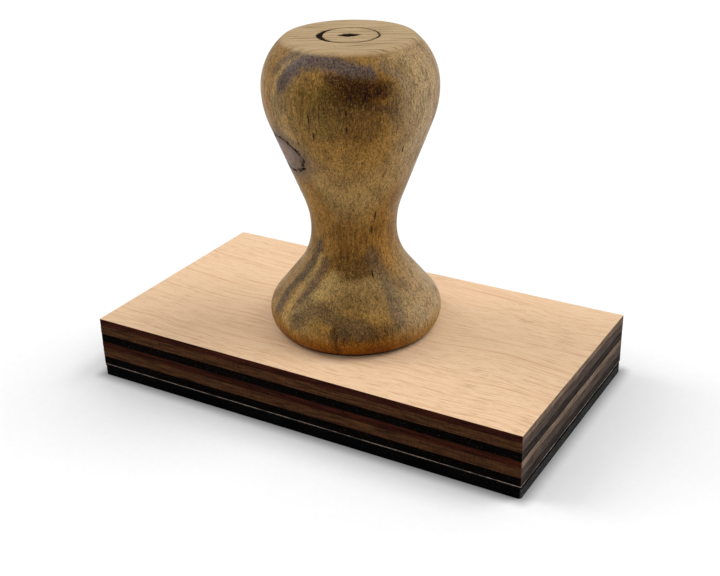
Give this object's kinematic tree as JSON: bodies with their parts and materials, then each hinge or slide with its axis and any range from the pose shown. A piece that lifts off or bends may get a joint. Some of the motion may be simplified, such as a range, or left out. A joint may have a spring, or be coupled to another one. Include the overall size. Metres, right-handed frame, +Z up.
{
  "type": "rubber stamp",
  "caption": "Hand stamp with a turned wooden handle on a rectangular block of glued plywood panels, with a cushion and an engraved rubber die underneath.",
  "frame": {"origin": "centre of the die's printing face, the surface that the stamp stands on", "axes": "+Z up along the handle's axis; +X along the block's long side; +Y along its short side"},
  "size_m": [0.11, 0.06, 0.0834],
  "materials": {
    "handle_wood": "stained hardwood under a semi-gloss lacquer",
    "face_veneer": "fine sanded pale veneer, charred at its laser-cut edges",
    "core_veneer": "laser-cut edge, brown",
    "back_veneer": "laser-cut edge, charred black",
    "wood_glue": "dried glue line",
    "tape": "cream double-sided tape",
    "foam": "black closed-cell foam",
    "die_rubber": "matt black engraved rubber",
    "screw_steel": "zinc-plated steel"
  },
  "bodies": {
    "root": {"handle": "handle_wood", "handle_screw": "screw_steel", "upper_panel_face_ply": "face_veneer", "upper_panel_core_ply": "core_veneer", "upper_panel_back_ply": "back_veneer", "panel_glue_film": "wood_glue", "lower_panel_face_ply": "face_veneer", "lower_panel_core_ply": "core_veneer", "lower_panel_back_ply": "back_veneer", "mounting_tape": "tape", "cushion_foam": "foam", "rubber_die": "die_rubber"}
  },
  "joints": []
}
